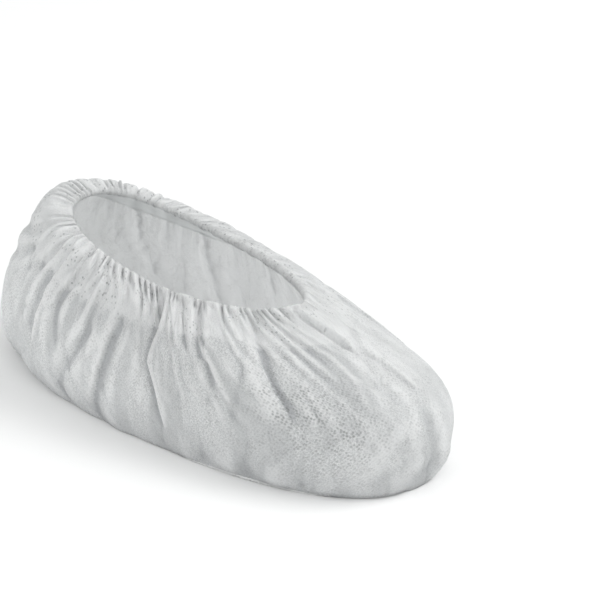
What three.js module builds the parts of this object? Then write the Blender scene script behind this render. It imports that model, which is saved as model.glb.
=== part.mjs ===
// A disposable overshoe: a bag of thin nonwoven cloth, gathered by an elastic round its opening.
// Millimetres. +X points to the toe, +Y to the left of the foot, +Z up. The sole lies at Z = 0.
import * as THREE from 'three';

// ---- Driving dimensions ----
const CLOTH = 1.2;           // thickness of one cloth layer
const GAP = 0.3;             // clear space between neighbouring pieces
const HEM_GAP = 0.8;         // clear space between the two layers of the hem
const ELASTIC = 1.6;         // diameter of the elastic thread
const HEM_DEPTH = 34;        // how far the hem is turned in below the rim
const HEM_TAPER = 9;         // drop over which the hem closes in from the elastic to the cloth
const SEAM_WIDTH = 4;        // width of the welded edge inside the toe and heel seams
const COLUMNS = 114;         // columns of the cloth, counted round the opening from the toe
const ELASTIC_SIDES = 5;

// Loops of the cloth from the opening down to the sole. Each is an oval from its toe to its heel (X) with a
// half width. toeSquare and heelSquare are the exponents of its two ends: 2 is an ellipse and more is squarer.
// toeZ, midZ and heelZ are its heights.
const LOOPS = [
  { name: 'rim', toe: 56, heel: -102, half: 34, toeSquare: 1.8, heelSquare: 2.4, toeZ: 81, midZ: 82, heelZ: 96 },
  { name: 'shoulder', toe: 107, heel: -118, half: 50.5, toeSquare: 2, heelSquare: 2.2, toeZ: 62, midZ: 72, heelZ: 98 },
  { name: 'belly', toe: 148, heel: -149, half: 59, toeSquare: 2.5, heelSquare: 2.5, toeZ: 41, midZ: 41, heelZ: 45 },
  { name: 'skirt', toe: 148, heel: -149, half: 62.5, toeSquare: 2.4, heelSquare: 2.6, toeZ: 14, midZ: 14, heelZ: 14 },
  { name: 'sole', toe: 140, heel: -130, half: 61.5, toeSquare: 2.4, heelSquare: 2.4, toeZ: 0, midZ: 0, heelZ: 0 },
];
const CENTRE_REACH = 0.75;   // the sole closes on its centre line, this share of the sole loop's length

// Rows of points down the wall: at set drops behind the hem, evenly from there to the belly, and below it at
// set levels. A level counts loops: 0 is the rim, 2 the belly, 4 the sole's edge and 5 its centre line.
const HEM_DROPS = [7, 15, 24, HEM_DEPTH];
const UPPER_ROWS = 4;
const BELLY = 2;
const LOWER_LEVELS = [2.5, 3, 3.35, 3.7, 4, 5];

// Main folds of the cloth. Each runs through three stations: share is how far round the opening, from the toe by
// way of the left side, and drop is how far below the rim, in mm along the cloth. depth is how far it is pulled
// in, width is its half width, and lip is the side on which the cloth stands proud: -1, 1, or 0 for both.
const FOLDS = [
  // right side, heel to toe
  { share: [0.582, 0.566, 0.546], drop: [0, 24, 47], depth: 2.6, width: 5, lip: 0 },
  { share: [0.612, 0.605, 0.553], drop: [1, 27, 61], depth: 2.6, width: 5, lip: 0 },
  { share: [0.624, 0.636, 0.618], drop: [2, 36, 85], depth: 2.6, width: 5, lip: 1 },
  { share: [0.654, 0.642, 0.649], drop: [0, 40, 73], depth: 3, width: 5, lip: 0 },
  { share: [0.659, 0.652, 0.643], drop: [66, 82, 99], depth: 3.4, width: 6, lip: 0 },
  { share: [0.710, 0.701, 0.690], drop: [31, 59, 96], depth: 3, width: 6, lip: 0 },
  { share: [0.753, 0.746, 0.770], drop: [12, 52, 90], depth: 5.5, width: 6.5, lip: 1 },
  { share: [0.817, 0.797, 0.791], drop: [1, 22, 41], depth: 2.8, width: 5, lip: 0 },
  { share: [0.838, 0.819, 0.811], drop: [10, 38, 70], depth: 3, width: 5, lip: 0 },
  { share: [0.892, 0.856, 0.827], drop: [12, 47, 83], depth: 3.2, width: 6, lip: 0 },
  { share: [0.913, 0.878, 0.899], drop: [4, 54, 109], depth: 5.5, width: 7, lip: -1 },
  { share: [0.950, 0.943, 0.949], drop: [6, 26, 40], depth: 2.4, width: 5, lip: 0 },
  { share: [0.975, 0.994, 0.958], drop: [3, 38, 85], depth: 2.8, width: 6, lip: 1 },
  // toe
  { share: [1.012, 0.997, 0.981], drop: [26, 53, 86], depth: 2.2, width: 6, lip: 0 },
  { share: [0.999, 1.001, 1.019], drop: [96, 108, 130], depth: 2.4, width: 5, lip: 0 },
  { share: [0.999, 0.982, 0.955], drop: [110, 117, 129], depth: 2.6, width: 5, lip: 0 },
  // left side, toe to heel
  { share: [0.045, 0.058, 0.050], drop: [6, 42, 80], depth: 3, width: 6, lip: 0 },
  { share: [0.098, 0.118, 0.104], drop: [6, 52, 104], depth: 5, width: 7, lip: 1 },
  { share: [0.158, 0.168, 0.180], drop: [3, 30, 58], depth: 2.8, width: 5, lip: 0 },
  { share: [0.214, 0.222, 0.236], drop: [5, 44, 86], depth: 4.5, width: 6.5, lip: -1 },
  { share: [0.270, 0.268, 0.266], drop: [8, 42, 66], depth: 2.8, width: 5, lip: 0 },
  { share: [0.352, 0.336, 0.318], drop: [8, 46, 92], depth: 4, width: 6, lip: 0 },
  { share: [0.384, 0.378, 0.380], drop: [3, 26, 50], depth: 2.4, width: 5, lip: 0 },
  { share: [0.424, 0.404, 0.380], drop: [12, 48, 84], depth: 4, width: 6, lip: 0 },
  { share: [0.468, 0.474, 0.466], drop: [2, 36, 76], depth: 2.8, width: 5, lip: 0 },
];
const LIP_HEIGHT = 0.4;      // height of a fold's lip as a share of its depth
const LIP_OFFSET = 1.7;      // distance from the fold to its lip, in fold widths
const FOLD_STEPS = 6;        // straight steps that stand for a fold's curve
const FOLD_FADE = 0.18;      // share of a fold's length over which it fades at each end

// Small gathers between the folds, one for every few columns.
const GATHER_COLUMNS = 3;    // columns in one gather
const GATHER_HEIGHT = 2.2;   // how far its ridge stands out at the rim
const GATHER_REACH = 24;     // drop over which a usual gather dies away
const GOLDEN = 0.618034;     // spreads the gathers' sizes evenly without a pattern

const NONWOVEN = new THREE.MeshStandardMaterial({ color: 0xe6e9e8, roughness: 0.9, metalness: 0 });
const HEM_CLOTH = new THREE.MeshStandardMaterial({ color: 0xeceeed, roughness: 0.9, metalness: 0 });
const RUBBER = new THREE.MeshStandardMaterial({ color: 0xdedfdc, roughness: 0.7, metalness: 0 });
const WELD = new THREE.MeshStandardMaterial({ color: 0xd6dad9, roughness: 0.75, metalness: 0 });

// ---- The smooth form ----

// One loop as evenly spaced points, the first at the toe. The right side mirrors the left.
function loopPoints(loop) {
  const middle = (loop.toe + loop.heel) / 2;
  const reach = (loop.toe - loop.heel) / 2;
  const outline = [];
  const samples = 6 * COLUMNS;
  for (let i = 0; i <= samples; i += 1) {
    const angle = (Math.PI * i) / samples;
    const along = Math.cos(angle);
    const power = 2 / (along > 0 ? loop.toeSquare : loop.heelSquare);
    const x = middle + reach * Math.sign(along) * Math.abs(along) ** power;
    const y = loop.half * Math.max(Math.sin(angle), 0) ** power;
    outline.push(new THREE.Vector3(x, y, 0));
  }
  const curve = new THREE.CatmullRomCurve3(outline);
  curve.arcLengthDivisions = 2 * samples;
  const left = curve.getSpacedPoints(COLUMNS / 2);
  for (const point of left) {
    const t = (point.x - loop.heel) / (loop.toe - loop.heel);
    point.z = loop.heelZ * (1 - t) * (1 - 2 * t) + loop.midZ * 4 * t * (1 - t) + loop.toeZ * t * (2 * t - 1);
  }
  left[0].y = 0;
  left[COLUMNS / 2].y = 0;
  const right = left.slice(1, -1).reverse().map((point) => new THREE.Vector3(point.x, -point.y, point.z));
  return [...left, ...right];
}

const loops = LOOPS.map(loopPoints);
const centreLine = loops.at(-1).map((point) => new THREE.Vector3(point.x * CENTRE_REACH, 0, 0));
const bands = LOOPS.length;
const columns = centreLine.map((end, k) => {
  const curve = new THREE.CatmullRomCurve3([...loops.map((loop) => loop[k]), end]);
  curve.arcLengthDivisions = 100 * bands;
  return curve;
});
const column = (k) => columns[(k + COLUMNS) % COLUMNS];

// The smooth wall at a column and a level: its place, its outward and downward directions, the drop below the
// rim, the share round the opening and the length of the loop there.
function wallAt(k, level) {
  const t = level / bands;
  const step = 0.01 / bands;
  const point = column(k).getPoint(t);
  const above = column(k).getPoint(Math.max(t - step, 0));
  const below = column(k).getPoint(Math.min(t + step, 1));
  const down = below.sub(above).normalize();
  const before = column(k - 1).getPoint(t);
  const after = column(k + 1).getPoint(t);
  const round = after.clone().sub(before);
  const onSole = level >= bands - 1;
  const outward = onSole ? new THREE.Vector3(0, 0, -1) : down.clone().cross(round).normalize();
  const lengths = column(k).getLengths();
  const drop = lengths[Math.round(t * (lengths.length - 1))];
  const girth = (COLUMNS / 2) * (point.distanceTo(before) + point.distanceTo(after));
  return { k, point, outward, down, drop, share: k / COLUMNS, girth };
}

// The level at which a column is a given drop below the rim.
const levelAt = (k, drop) => column(k).getUtoTmapping(0, drop) * bands;

// ---- Folds and gathers ----

const smooth = (x) => THREE.MathUtils.smoothstep(x, 0, 1);

// The value at t = 0, 0.5 and 1 of a curve through three stations.
function through([start, middle, end], t) {
  return start * (1 - t) * (1 - 2 * t) + middle * 4 * t * (1 - t) + end * t * (2 * t - 1);
}

// How far a wall point is from a fold, signed to the left of its run, and how far along the fold it lies.
function nearestOnFold(fold, wall) {
  const here = new THREE.Vector3();
  const turn = Math.round(fold.share[1] - wall.share);
  const station = (t) => {
    const across = (through(fold.share, t) - wall.share - turn) * wall.girth;
    return new THREE.Vector3(across, through(fold.drop, t) - wall.drop, 0);
  };
  let nearest = { distance: Infinity, along: 0 };
  for (let i = 0; i < FOLD_STEPS; i += 1) {
    const step = new THREE.Line3(station(i / FOLD_STEPS), station((i + 1) / FOLD_STEPS));
    const share = step.closestPointToPointParameter(here, true);
    const foot = step.at(share, new THREE.Vector3());
    if (foot.length() < Math.abs(nearest.distance)) {
      const side = step.delta(new THREE.Vector3()).cross(foot).z < 0 ? -1 : 1;
      nearest = { distance: side * foot.length(), along: (i + share) / FOLD_STEPS };
    }
  }
  return nearest;
}

function foldRelief(fold, wall) {
  const { distance, along } = nearestOnFold(fold, wall);
  const fade = smooth(along / FOLD_FADE) * smooth((1 - along) / FOLD_FADE);
  const strength = fold.depth * (0.35 + 0.65 * fade);
  const x = distance / fold.width;
  const lip = (side) => Math.exp(-((x - side * LIP_OFFSET) ** 2));
  const lips = fold.lip === 0 ? (lip(1) + lip(-1)) / 2 : lip(fold.lip);
  return strength * (LIP_HEIGHT * lips - Math.exp(-(x ** 2)));
}

// A gather is a ridge over a few columns, zero at the valleys between ridges. Each has its own height and reach.
function gatherRelief(wall) {
  const index = Math.floor(wall.k / GATHER_COLUMNS);
  const phase = (wall.k % GATHER_COLUMNS) / GATHER_COLUMNS;
  const ridge = Math.sin(Math.PI * phase);
  const spread = (index * GOLDEN) % 1;
  const reach = GATHER_REACH * (0.6 + 1.1 * spread);
  const height = GATHER_HEIGHT * (0.7 + 0.5 * ((index * GOLDEN * GOLDEN) % 1));
  return height * ridge * Math.exp(-((wall.drop / reach) ** 2));
}

// Folds die away at the rim, where the elastic holds the cloth, and towards the sole.
const ROLL = CLOTH + 2 * GAP + ELASTIC / 2;
const HEM_TOP = ROLL + GAP;
function folding(wall, level) {
  const total = FOLDS.reduce((sum, fold) => sum + foldRelief(fold, wall), 0);
  const rimFade = smooth((wall.drop - HEM_TOP) / HEM_TAPER);
  const soleFade = smooth(bands - 1 - level);
  return total * rimFade * soleFade;
}

// ---- Surfaces ----

// The outer face of the cloth, and a face at some depth inside it.
function outerPoint(k, level) {
  const wall = wallAt(k, level);
  const relief = folding(wall, level) + gatherRelief(wall);
  const point = wall.point.addScaledVector(wall.outward, relief);
  point.z = Math.max(point.z, 0);
  return point;
}

function innerPoint(k, level) {
  const point = outerPoint(k, level).addScaledVector(wallAt(k, level).outward, -CLOTH);
  point.z = Math.max(point.z, CLOTH);
  return point;
}

// A point of the rolled edge: an angle of 0 faces out, a right angle up, and a straight angle in.
function rollPoint(k, radius, angle) {
  const wall = wallAt(k, levelAt(k, ROLL));
  const outward = wall.outward.clone();
  const gather = gatherRelief(wall) * Math.max(Math.cos(angle), 0);
  const centre = wall.point.addScaledVector(outward, -ROLL);
  centre.addScaledVector(outward, radius * Math.cos(angle) + gather);
  return centre.addScaledVector(wall.down, -radius * Math.sin(angle));
}

// A point of the turned-in layer, at a depth inside the face that looks outwards.
function facingPoint(k, drop, inside) {
  const wall = wallAt(k, levelAt(k, drop));
  const taper = 1 - smooth((drop - HEM_TOP) / HEM_TAPER);
  const layered = CLOTH + HEM_GAP;
  const base = layered + (2 * ROLL - CLOTH - layered) * taper;
  const relief = folding(wall, levelAt(k, drop));
  return wall.point.addScaledVector(wall.outward, relief - base - inside);
}

const rowOf = (pointAt) => Array.from({ length: COLUMNS }, (_, k) => pointAt(k));

// The levels of one column's rows.
function wallLevels(k) {
  const hem = HEM_DROPS.map((drop) => levelAt(k, drop));
  const edge = hem.at(-1);
  const upper = Array.from({ length: UPPER_ROWS }, (_, i) => edge + ((BELLY - edge) * (i + 1)) / UPPER_ROWS);
  return [...hem, ...upper, ...LOWER_LEVELS];
}

// A closed skin through rows of points, each row a closed ring. Four points make two triangles, parted along
// the shorter diagonal. looped joins the last row to the first, and capped closes the first and last rows with
// a fan. With neither, the end rows close on themselves.
function skin(rows, { looped = false, capped = false } = {}) {
  const width = rows[0].length;
  const triangles = [];
  const last = looped ? rows.length : rows.length - 1;
  for (let i = 0; i < last; i += 1) {
    const here = rows[i];
    const next = rows[(i + 1) % rows.length];
    for (let k = 0; k < width; k += 1) {
      const [a, b, c, d] = [here[k], here[(k + 1) % width], next[(k + 1) % width], next[k]];
      const shortCut = a.distanceTo(c) <= b.distanceTo(d);
      triangles.push(...(shortCut ? [a, b, c, a, c, d] : [a, b, d, b, c, d]));
    }
  }
  if (capped) {
    const first = rows[0];
    const end = rows.at(-1);
    for (let k = 1; k < width - 1; k += 1) {
      triangles.push(first[0], first[k + 1], first[k]);
      triangles.push(end[0], end[k], end[k + 1]);
    }
  }
  const geometry = new THREE.BufferGeometry().setFromPoints(triangles);
  geometry.computeVertexNormals();
  return geometry;
}

// ---- Pieces ----

// The bag: up the outside from the sole's centre line, over the elastic, and down the inside.
function coverBody() {
  const levels = columns.map((_, k) => wallLevels(k));
  const rows = levels[0].map((_, row) => row);
  const outside = rows.map((row) => rowOf((k) => outerPoint(k, levels[k][row]))).reverse();
  const inside = rows.map((row) => rowOf((k) => innerPoint(k, levels[k][row])));
  const turns = [0, 1 / 3, 2 / 3, 1].map((share) => share * Math.PI);
  const rollOutside = turns.map((angle) => rowOf((k) => rollPoint(k, ROLL, angle)));
  const rollInside = turns.map((angle) => rowOf((k) => rollPoint(k, ROLL - CLOTH, angle))).reverse();
  return skin([...outside, ...rollOutside, ...rollInside, ...inside]);
}

function hemFacing() {
  const drops = [HEM_TOP, ...HEM_DROPS];
  const outside = drops.map((drop) => rowOf((k) => facingPoint(k, drop, 0))).reverse();
  const inside = drops.map((drop) => rowOf((k) => facingPoint(k, drop, CLOTH)));
  return skin([...outside, ...inside], { looped: true });
}

function elastic() {
  const angles = Array.from({ length: ELASTIC_SIDES }, (_, i) => (2 * Math.PI * i) / ELASTIC_SIDES);
  const rows = angles.map((angle) => rowOf((k) => {
    const wall = wallAt(k, levelAt(k, ROLL));
    const out = (ELASTIC / 2) * Math.cos(angle) - ROLL;
    return wall.point.addScaledVector(wall.outward, out).addScaledVector(wall.down, -(ELASTIC / 2) * Math.sin(angle));
  }));
  return skin(rows, { looped: true });
}

// A welded edge: a bar that stands in from the cloth along one column, from below the hem to the sole.
function endSeam(k) {
  const start = levelAt(k, HEM_DEPTH + 4 * GAP);
  const levels = [start, ...wallLevels(k).filter((level) => level > start + 0.1 && level <= bands - 1.3)];
  const rows = levels.map((level) => {
    const outward = wallAt(k, level).outward;
    const foot = innerPoint(k, level).addScaledVector(outward, -3 * GAP);
    const edge = foot.clone().addScaledVector(outward, -SEAM_WIDTH);
    const side = new THREE.Vector3(0, (Math.sign(foot.x) * CLOTH) / 2, 0);
    return [foot.clone().add(side), foot.clone().sub(side), edge.clone().sub(side), edge.clone().add(side)];
  });
  return skin(rows, { capped: true });
}

function piece(name, geometry, material) {
  const mesh = new THREE.Mesh(geometry, material);
  mesh.name = name;
  return mesh;
}

const cover = new THREE.Group();
cover.add(piece('cover_body', coverBody(), NONWOVEN));
cover.add(piece('hem_facing', hemFacing(), HEM_CLOTH));
cover.add(piece('elastic', elastic(), RUBBER));
cover.add(piece('toe_seam', endSeam(0), WELD));
cover.add(piece('heel_seam', endSeam(COLUMNS / 2), WELD));

// The origin is at the middle of the cover's footprint, on the sole.
const box = new THREE.Box3().setFromObject(cover);
const centre = box.getCenter(new THREE.Vector3());
cover.position.set(-centre.x, -centre.y, -box.min.z);

export default cover;
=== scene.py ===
import math
from collections import namedtuple

import bmesh
import bpy
import numpy as np
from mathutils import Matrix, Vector


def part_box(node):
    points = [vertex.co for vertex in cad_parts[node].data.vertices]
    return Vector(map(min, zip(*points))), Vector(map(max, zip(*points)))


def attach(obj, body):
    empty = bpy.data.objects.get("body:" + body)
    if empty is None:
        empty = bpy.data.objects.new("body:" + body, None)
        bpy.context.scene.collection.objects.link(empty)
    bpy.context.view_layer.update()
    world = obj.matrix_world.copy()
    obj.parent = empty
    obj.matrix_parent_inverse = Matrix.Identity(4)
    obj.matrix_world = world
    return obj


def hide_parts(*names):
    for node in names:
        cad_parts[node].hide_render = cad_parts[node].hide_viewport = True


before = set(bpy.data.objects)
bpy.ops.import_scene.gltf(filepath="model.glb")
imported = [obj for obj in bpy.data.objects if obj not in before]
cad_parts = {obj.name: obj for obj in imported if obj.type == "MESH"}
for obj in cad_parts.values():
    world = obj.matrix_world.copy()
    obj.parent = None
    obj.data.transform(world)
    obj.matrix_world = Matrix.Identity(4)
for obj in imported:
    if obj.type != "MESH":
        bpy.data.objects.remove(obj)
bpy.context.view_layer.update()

MM = 0.001

# ---- Camera ----
# It stands off the toe on the right side of the cover, a little above it, with the long lens of a catalogue
# studio, and looks slightly past the cover so that the cover sits to the left in the frame.
AZIMUTH, ELEVATION = math.radians(40.66), math.radians(27.33)
CAMERA_AWAY = 2.2            # m from the cover
back = Vector((
    math.sin(AZIMUTH) * math.cos(ELEVATION),
    -math.cos(AZIMUTH) * math.cos(ELEVATION),
    math.sin(ELEVATION),
))
right = Vector((math.cos(AZIMUTH), math.sin(AZIMUTH), 0))
up = back.cross(right)
aim = Vector((0.0012, 0, 0.045)) + 0.0427 * right + 0.0165 * up
camera = bpy.data.objects.new("camera", bpy.data.cameras.new("camera"))
camera.location = aim + CAMERA_AWAY * back
camera.rotation_mode = "QUATERNION"
camera.rotation_quaternion = (-back).to_track_quat("-Z", "Y")
camera.data.lens = 239
camera.data.sensor_width = 36
camera.data.clip_end = 20
bpy.context.collection.objects.link(camera)
bpy.context.scene.camera = camera

# ---- Cloth of the cover ----
# A flat bag of thin white nonwoven polypropylene, folded along the sole, welded at the toe and the heel, and
# gathered by the elastic in its hem. The sheet is laid over the smooth form of the worn cover and given its
# gathers and creases. It is then relaxed, which brings its threads near their flat lengths again, and gets
# its finer folds after that.
COLUMNS = 720                # points round the cloth
ROLL = 2.6                   # radius at which the cloth turns over the elastic, mm
RIM_GIRTH = 370              # length of the opening's edge, mm
CENTRE_REACH = 0.75          # the sole closes on its centre line, this share of the sole loop's length

Loop = namedtuple("Loop", "toe heel half toe_square heel_square toe_z mid_z heel_z")
LOOPS = [                    # from the opening down to the sole, mm
    Loop(56, -102, 34, 1.8, 2.4, 81, 82, 96),
    Loop(107, -118, 50.5, 2, 2.2, 62, 72, 98),
    Loop(148, -149, 59, 2.5, 2.5, 41, 41, 45),
    Loop(148, -149, 62.5, 2.4, 2.6, 14, 14, 14),
    Loop(140, -130, 61.5, 2.4, 2.4, 0, 0, 0),
]

# A crease's line is given as shares round the opening and mm below the rim. The share runs from the toe, 0,
# along the left side to the heel, 0.5, and back along the right. Depth and width are in mm, and the depth of
# a ridge is negative. The lip is the side that stands proud: -1 the smaller share, 1 the larger, 0 neither.
Crease = namedtuple("Crease", "line depth width lip")
TOE_FOLD = (0.914, 3), (0.902, 19), (0.890, 33), (0.880, 50), (0.880, 68), (0.886, 86)
CROWN_FOLD = (0.977, 3), (0.986, 8), (0.990, 14), (0.992, 23), (0.997, 31), (0.998, 44)
CREASES = [
    # right side, heel to toe
    Crease(((0.564, 13), (0.553, 20), (0.524, 33)), 0.8, 3, 0),
    Crease(((0.582, 0), (0.566, 24), (0.546, 47)), 0.6, 4.5, 0),
    Crease(((0.478, 52), (0.528, 45), (0.559, 30), (0.574, 23)), 2.6, 4, 0),
    Crease(((0.598, 4), (0.608, 15), (0.606, 27), (0.585, 44), (0.553, 61)), 1.4, 4, 0),
    Crease(((0.495, 74), (0.547, 57), (0.566, 42), (0.582, 31)), 2.6, 4, 0),
    Crease(((0.603, 0), (0.622, 9), (0.624, 23), (0.618, 38), (0.616, 60), (0.618, 85)), 2, 2.8, 1),
    Crease(
        ((0.656, 3), (0.659, 16), (0.648, 26), (0.640, 33), (0.636, 46), (0.640, 58), (0.649, 73)),
        2.6, 2.8, 0),
    Crease(((0.681, 46), (0.673, 56), (0.672, 63), (0.661, 80), (0.645, 101)), 2.2, 3.4, 0),
    Crease(((0.681, 3), (0.685, 17), (0.684, 25), (0.679, 34)), 1.2, 2.6, 0),
    Crease(((0.718, 2), (0.714, 13), (0.711, 20)), 2.2, 2.4, 0),
    Crease(((0.713, 31), (0.703, 47), (0.701, 58), (0.698, 68), (0.696, 81), (0.686, 98)), 2.6, 4.5, -1),
    Crease(((0.750, 3), (0.738, 17), (0.733, 25)), 2.6, 2.4, 0),
    Crease(((0.765, 2), (0.751, 14), (0.744, 28)), 2.6, 2.4, 0),
    Crease(
        ((0.784, 5), (0.766, 23), (0.752, 38), (0.747, 48), (0.748, 58), (0.758, 71), (0.770, 90)),
        5, 5, 1),
    Crease(((0.817, 1), (0.799, 18), (0.790, 34), (0.790, 43)), 3.4, 2.4, 0),
    Crease(((0.841, 1), (0.820, 18), (0.806, 35), (0.803, 50)), 3.2, 2.6, 0),
    Crease(((0.815, 47), (0.812, 60), (0.809, 72)), 2, 3, 0),
    Crease(((0.845, 2), (0.830, 16), (0.817, 30), (0.813, 40)), 2.8, 2.2, 0),
    Crease(((0.896, 6), (0.886, 20), (0.861, 43), (0.850, 57), (0.838, 66), (0.827, 83)), 2.2, 2.6, 0),
    Crease(TOE_FOLD, 2.4, 5, 0),
    Crease(TOE_FOLD, 1.8, 9.5, -1),
    Crease(((0.927, 37), (0.920, 52), (0.914, 66), (0.914, 84)), -1.6, 2.4, 0),
    Crease(((0.953, 3), (0.944, 18), (0.942, 28), (0.956, 40)), 1.2, 2.2, 0),
    Crease(CROWN_FOLD, 2.6, 3.4, 1),
    Crease(CROWN_FOLD, 2.0, 8.5, 1),
    Crease(((0.967, 37), (0.968, 50), (0.966, 66), (0.956, 85)), -1.4, 2.4, 0),
    # toe
    Crease(((1.035, 28), (1.010, 42), (1.008, 53), (1.012, 62), (1.011, 83)), 1.9, 4, 1),
    Crease(((1.006, 42), (0.994, 58), (0.986, 76), (0.981, 88)), 2.4, 3.2, 0),
    Crease(((1.003, 92), (0.998, 101), (0.994, 106), (0.982, 110), (0.970, 113), (0.955, 118)), 2.2, 5, 0),
    Crease(((1.010, 110), (0.990, 117), (0.976, 122), (0.963, 127), (0.945, 132)), 2.2, 5, 0),
    Crease(((1.022, 124), (1.000, 130), (0.975, 135), (0.950, 138)), 1.8, 4, 0),
    # left side, toe to heel
    Crease(((0.045, 6), (0.056, 24), (0.058, 42), (0.050, 80)), 0.5, 5, 0),
    Crease(((0.098, 6), (0.113, 28), (0.118, 52), (0.104, 104)), 1.2, 6, 1),
    Crease(((0.158, 3), (0.168, 30), (0.180, 58)), 0.9, 4, 0),
    Crease(((0.214, 5), (0.220, 24), (0.224, 48), (0.236, 86)), 1.5, 5.5, -1),
    Crease(((0.270, 8), (0.268, 42), (0.266, 66)), 0.9, 4, 0),
    Crease(((0.352, 8), (0.344, 28), (0.336, 46), (0.318, 92)), 1.3, 5, 0),
    Crease(((0.384, 3), (0.378, 26), (0.380, 50)), 0.8, 4, 0),
    Crease(((0.424, 12), (0.413, 32), (0.402, 52), (0.380, 84)), 1.3, 5, 0),
    Crease(((0.468, 2), (0.474, 36), (0.466, 76)), 0.9, 4, 0),
]
SEAM_LINES = [Crease(((1.0, 34), (1.0, 150)), 0.7, 1.8, 0), Crease(((0.5, 34), (0.5, 110)), 0.7, 1.8, 0)]
# The ear is the corner of the flat bag, which sticks out under the toe.
EAR = Crease(((1.022, 124), (1.014, 138), (0.990, 151)), -4.8, 7.5, 0)
CREASE_FADE = 0.18           # share of a crease's length over which each of its ends fades
WAVES = np.arange(COLUMNS // 2 + 1)  # the waves round the cloth, each as how many of it go round


def smooth(x):
    x = np.clip(x, 0, 1)
    return x * x * (3 - 2 * x)


def length(vectors):
    return np.linalg.norm(vectors, axis=-1)


def weighted(values, weight, axis=1):
    """The values with a weight on each wave round the cloth."""
    return np.fft.irfft(np.fft.rfft(values, axis=axis) * weight, COLUMNS, axis=axis)


def through(stations, t):
    """The value at t of a curve that passes three stations, at t = 0, 0.5 and 1."""
    start, middle, end = stations
    return start * (1 - t) * (1 - 2 * t) + middle * 4 * t * (1 - t) + end * t * (2 * t - 1)


def loop_points(loop, samples=7200):
    """Evenly spaced points round one loop, the first at the toe."""
    angle = np.linspace(0, 2 * np.pi, samples, endpoint=False)
    along, across = np.cos(angle), np.sin(angle)
    power = 2 / np.where(along > 0, loop.toe_square, loop.heel_square)
    x = (loop.toe + loop.heel) / 2 + (loop.toe - loop.heel) / 2 * np.sign(along) * np.abs(along) ** power
    y = loop.half * np.sign(across) * np.abs(across) ** power
    walked = np.r_[0, np.cumsum(np.hypot(np.diff(x, append=x[0]), np.diff(y, append=y[0])))]
    wanted = np.linspace(0, walked[-1], COLUMNS, endpoint=False)
    x, y = np.interp(wanted, walked, np.r_[x, x[0]]), np.interp(wanted, walked, np.r_[y, y[0]])
    t = (x - loop.heel) / (loop.toe - loop.heel)
    return np.stack([x, y, through((loop.heel_z, loop.mid_z, loop.toe_z), t)], -1)


def spline(rings, count):
    """Centripetal Catmull-Rom columns through the rings."""
    rings = [2 * rings[0] - rings[1], *rings, 2 * rings[-1] - rings[-2]]
    spans = len(rings) - 3
    rows = []
    for i in range(count):
        place = i / (count - 1) * spans
        span = min(int(place), spans - 1)
        w = place - span
        a, b, c, d = rings[span:span + 4]
        steps = [np.maximum(length(q - p)[:, None], 1e-8) ** 0.5 for p, q in ((a, b), (b, c), (c, d))]
        into = ((b - a) / steps[0] - (c - a) / (steps[0] + steps[1]) + (c - b) / steps[1]) * steps[1]
        out = ((c - b) / steps[1] - (d - b) / (steps[1] + steps[2]) + (d - c) / steps[2]) * steps[1]
        rows.append(
            b + into * w + (3 * (c - b) - 2 * into - out) * w**2 + (2 * (b - c) + into + out) * w**3
        )
    return np.stack(rows)


class Form:
    """The smooth form of the worn cover: what lies at a share round it and a drop below its opening."""

    STEP = 0.5               # mm of drop between its rows

    def __init__(self, levels=401):
        rings = [loop_points(loop) for loop in LOOPS]
        rings.append(rings[-1] * (CENTRE_REACH, 0, 0))
        wall = spline(rings, levels)
        level = np.linspace(0, len(LOOPS), levels)
        self.drops = np.vstack([np.zeros(COLUMNS), np.cumsum(length(np.diff(wall, axis=0)), 0)])
        outward = np.cross(np.gradient(wall, axis=0), np.roll(wall, -1, 1) - np.roll(wall, 1, 1))
        outward[level >= len(LOOPS) - 1] = (0, 0, -1)
        outward /= length(outward)[..., None] + 1e-12
        girth = length(np.roll(wall, -1, 1) - wall).sum(1)
        values = np.concatenate([wall, outward, np.broadcast_to(
            np.stack([level, girth], -1)[:, None], (levels, COLUMNS, 2))], -1)
        rows = np.arange(0, self.drops.max(), self.STEP)
        self.grid = np.stack([
            np.stack([np.interp(rows, self.drops[:, k], values[:, k, i]) for i in range(8)], -1)
            for k in range(COLUMNS)], 1)
        self.level = level

    def at(self, share, drop):
        """Place, outward direction, level and girth."""
        u, v = (share % 1) * COLUMNS, np.clip(drop / self.STEP, 0, len(self.grid) - 1.001)
        k, i = np.floor(u).astype(int), np.floor(v).astype(int)
        across, down = (u - k)[..., None], (v - i)[..., None]
        k, beside = k % COLUMNS, (k + 1) % COLUMNS
        found = (self.grid[i, k] * (1 - across) + self.grid[i, beside] * across) * (1 - down) + (
            self.grid[i + 1, k] * (1 - across) + self.grid[i + 1, beside] * across) * down
        outward = found[..., 3:6] / (length(found[..., 3:6])[..., None] + 1e-12)
        return found[..., :3], outward, found[..., 6], found[..., 7]

    def drop_at(self, level):
        return self.drops[np.searchsorted(self.level, level - 1e-9)]


def rounded(line):
    """The line with its corners cut twice over, and its ends kept."""
    line = np.array(line, float)
    for _ in range(2):
        inner = np.stack([0.75 * line[:-1] + 0.25 * line[1:], 0.25 * line[:-1] + 0.75 * line[1:]], 1)
        line = np.concatenate([line[:1], inner.reshape(-1, 2), line[-1:]])
    return line


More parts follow.
